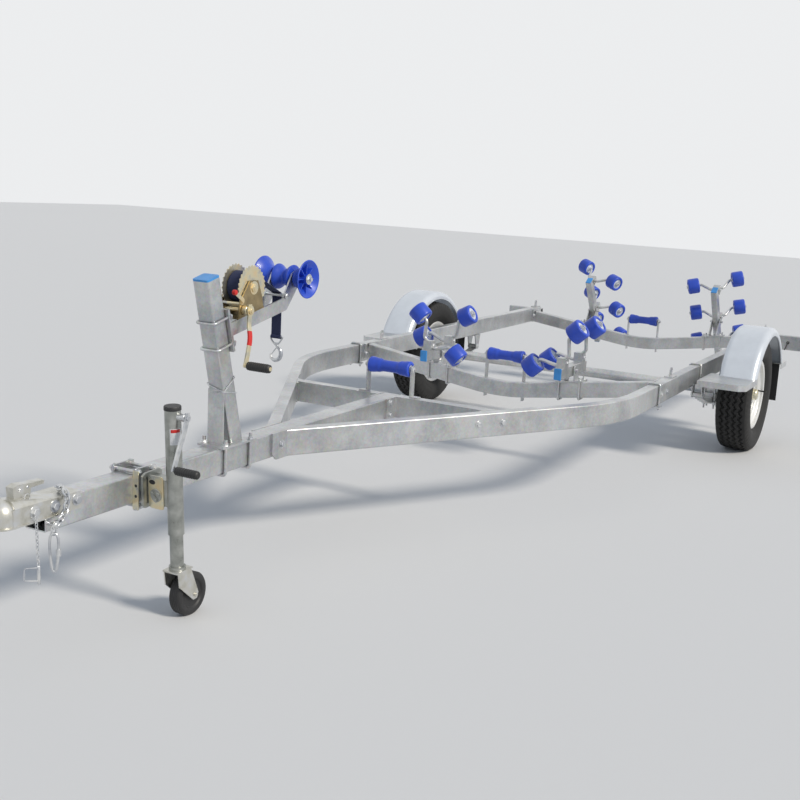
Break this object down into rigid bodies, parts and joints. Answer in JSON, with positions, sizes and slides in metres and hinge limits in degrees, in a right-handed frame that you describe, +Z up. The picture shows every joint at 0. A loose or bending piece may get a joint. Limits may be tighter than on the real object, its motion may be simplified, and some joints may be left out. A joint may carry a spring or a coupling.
{
  "type": "single-axle boat trailer with roller cradle",
  "caption": "Galvanised single-axle boat trailer with rocking roller cradles, winch post with bow roller, and a swing-up jack with caster wheel.",
  "frame": {"origin": "on the ground, on the centre line, under the middle of the overall length", "axes": "+X forward to the coupler, +Y to the trailer's left, +Z up"},
  "size_m": [6.2837, 2.316, 1.0897],
  "materials": {
    "galvanised": "hot-dip galvanised",
    "fender_silver": "satin",
    "wheel_silver": "satin",
    "tyre": "matt",
    "roller_blue": "smooth",
    "zinc": "bright zinc plated",
    "winch_zinc": "yellow zinc plated",
    "black_rubber": "matt",
    "strap_navy": "woven",
    "cap_azure": "moulded"
  },
  "bodies": {
    "chassis": {"drawbar": "galvanised", "coupler": "zinc", "safety_chain": "zinc", "side_rail_left": "galvanised", "side_rail_right": "galvanised", "crossbeam_front": "galvanised", "crossbeam_middle": "galvanised", "crossbeam_rear": "galvanised", "light_arms": "galvanised", "axle_beam": "galvanised", "leaf_springs": "galvanised", "spring_hangers": "galvanised", "fenders": "fender_silver", "fender_steps": "galvanised", "fender_stays": "galvanised", "mud_flaps": "black_rubber", "winch_post": "galvanised", "winch_post_cap": "cap_azure", "bow_arm": "galvanised", "winch_frame": "winch_zinc", "winch_drum": "winch_zinc", "winch_strap": "strap_navy", "winch_hook": "zinc", "winch_handle": "winch_zinc", "keel_brackets": "galvanised", "rail_lugs": "galvanised", "rail_u_bolts": "galvanised", "jack_clamp": "galvanised", "rocker_stand_front_left": "galvanised", "rocker_stand_front_right": "galvanised", "rocker_stand_rear_left": "galvanised", "rocker_stand_rear_right": "galvanised"},
    "wheel_left": {"tyre_left": "tyre", "rim_left": "wheel_silver"},
    "wheel_right": {"tyre_right": "tyre", "rim_right": "wheel_silver"},
    "jack": {"jack_tube": "galvanised", "jack_crank": "galvanised"},
    "jack_leg": {"jack_inner": "galvanised"},
    "caster": {"caster_fork": "galvanised"},
    "jack_wheel": {"caster_wheel": "black_rubber"},
    "rocker_front_left": {"rocker_front_left": "galvanised"},
    "rollers_front_left_1": {"rollers_front_left_1": "roller_blue"},
    "rollers_front_left_2": {"rollers_front_left_2": "roller_blue"},
    "rocker_front_right": {"rocker_front_right": "galvanised"},
    "rollers_front_right_1": {"rollers_front_right_1": "roller_blue"},
    "rollers_front_right_2": {"rollers_front_right_2": "roller_blue"},
    "rocker_rear_left": {"rocker_rear_left": "galvanised"},
    "rollers_rear_left_1": {"rollers_rear_left_1": "roller_blue"},
    "rollers_rear_left_2": {"rollers_rear_left_2": "roller_blue"},
    "rollers_rear_left_3": {"rollers_rear_left_3": "roller_blue"},
    "rocker_rear_right": {"rocker_rear_right": "galvanised"},
    "rollers_rear_right_1": {"rollers_rear_right_1": "roller_blue"},
    "rollers_rear_right_2": {"rollers_rear_right_2": "roller_blue"},
    "rollers_rear_right_3": {"rollers_rear_right_3": "roller_blue"},
    "keel_roller_front": {"keel_roller_front": "roller_blue"},
    "keel_roller_middle": {"keel_roller_middle": "roller_blue"},
    "keel_roller_rear": {"keel_roller_rear": "roller_blue"},
    "bow_roller": {"bow_roller": "roller_blue"}
  },
  "joints": [
    {"name": "wheel_spin_left", "type": "hinge", "parent": "chassis", "child": "wheel_left", "pos_m": [-1.38004, 1.03, 0.323], "axis": [0, 1, 0], "continuous": true},
    {"name": "wheel_spin_right", "type": "hinge", "parent": "chassis", "child": "wheel_right", "pos_m": [-1.38004, -1.03, 0.323], "axis": [0, 1, 0], "continuous": true},
    {"name": "jack_swing", "type": "hinge", "parent": "chassis", "child": "jack", "pos_m": [2.56991, 0.165, 0.40752], "axis": [0, 1, 0], "range_deg": [0, 90]},
    {"name": "jack_extend", "type": "slide", "parent": "jack", "child": "jack_leg", "axis": [-0.0776, 0, -0.997], "range_m": [-0.095, 0.13]},
    {"name": "jack_swivel", "type": "hinge", "parent": "jack_leg", "child": "caster", "pos_m": [2.55096, 0.165, 0.16414], "axis": [0.0776, 0, 0.997], "continuous": true},
    {"name": "jack_wheel_spin", "type": "hinge", "parent": "caster", "child": "jack_wheel", "pos_m": [2.4975, 0.165, 0.07], "axis": [0, 1, 0], "continuous": true},
    {"name": "rocker_tilt_front_left", "type": "hinge", "parent": "chassis", "child": "rocker_front_left", "pos_m": [-0.2369, 0.385, 0.50307], "axis": [0, 1, 0], "range_deg": [-15, 15]},
    {"name": "rollers_spin_front_left_1", "type": "hinge", "parent": "rocker_front_left", "child": "rollers_front_left_1", "pos_m": [-0.11298, 0.33776, 0.61737], "axis": [0.0109, 0.7547, 0.656], "continuous": true},
    {"name": "rollers_spin_front_left_2", "type": "hinge", "parent": "rocker_front_left", "child": "rollers_front_left_2", "pos_m": [-0.35694, 0.33872, 0.62223], "axis": [0.0107, 0.766, 0.6427], "continuous": true},
    {"name": "rocker_tilt_front_right", "type": "hinge", "parent": "chassis", "child": "rocker_front_right", "pos_m": [-0.2369, -0.365, 0.50307], "axis": [0, 1, 0], "range_deg": [-15, 15]},
    {"name": "rollers_spin_front_right_1", "type": "hinge", "parent": "rocker_front_right", "child": "rollers_front_right_1", "pos_m": [-0.113, -0.31682, 0.61654], "axis": [-0.0111, 0.7431, -0.669], "continuous": true},
    {"name": "rollers_spin_front_right_2", "type": "hinge", "parent": "rocker_front_right", "child": "rollers_front_right_2", "pos_m": [-0.3568, -0.3988, 0.63065], "axis": [0.0078, 0.8829, 0.4694], "continuous": true},
    {"name": "rocker_tilt_rear_left", "type": "hinge", "parent": "chassis", "child": "rocker_rear_left", "pos_m": [-2.77605, 0.51, 0.57518], "axis": [0, 1, 0], "range_deg": [0, 80]},
    {"name": "rollers_spin_rear_left_1", "type": "hinge", "parent": "rocker_rear_left", "child": "rollers_rear_left_1", "pos_m": [-2.74329, 0.48072, 0.84509], "axis": [-0.3334, 0.9135, 0.233], "continuous": true},
    {"name": "rollers_spin_rear_left_2", "type": "hinge", "parent": "rocker_rear_left", "child": "rollers_rear_left_2", "pos_m": [-2.88196, 0.4842, 0.6492], "axis": [-0.2937, 0.9336, 0.2053], "continuous": true},
    {"name": "rollers_spin_rear_left_3", "type": "hinge", "parent": "rocker_rear_left", "child": "rollers_rear_left_3", "pos_m": [-3.01694, 0.47731, 0.45073], "axis": [-0.3721, 0.891, 0.2601], "continuous": true},
    {"name": "rocker_tilt_rear_right", "type": "hinge", "parent": "chassis", "child": "rocker_rear_right", "pos_m": [-2.77631, -0.385, 0.55918], "axis": [0, 1, 0], "range_deg": [0, 80]},
    {"name": "rollers_spin_rear_right_1", "type": "hinge", "parent": "rocker_rear_right", "child": "rollers_rear_right_1", "pos_m": [-2.74075, -0.349, 0.82714], "axis": [0.4098, 0.866, -0.2864], "continuous": true},
    {"name": "rollers_spin_rear_right_2", "type": "hinge", "parent": "rocker_rear_right", "child": "rollers_rear_right_2", "pos_m": [-2.87606, -0.34474, 0.62889], "axis": [0.4583, 0.829, -0.3203], "continuous": true},
    {"name": "rollers_spin_rear_right_3", "type": "hinge", "parent": "rocker_rear_right", "child": "rollers_rear_right_3", "pos_m": [-3.01355, -0.34474, 0.43218], "axis": [0.4583, 0.829, -0.3203], "continuous": true},
    {"name": "keel_spin_front", "type": "hinge", "parent": "chassis", "child": "keel_roller_front", "pos_m": [0.9569, 0, 0.60129], "axis": [0, 1, 0], "continuous": true},
    {"name": "keel_spin_middle", "type": "hinge", "parent": "chassis", "child": "keel_roller_middle", "pos_m": [-0.30257, 0, 0.52316], "axis": [0, 1, 0], "continuous": true},
    {"name": "keel_spin_rear", "type": "hinge", "parent": "chassis", "child": "keel_roller_rear", "pos_m": [-2.75778, 0, 0.53087], "axis": [0, 1, 0], "continuous": true},
    {"name": "bow_spin", "type": "hinge", "parent": "chassis", "child": "bow_roller", "pos_m": [1.78096, 0, 1.02069], "axis": [0, 1, 0], "continuous": true}
  ]
}
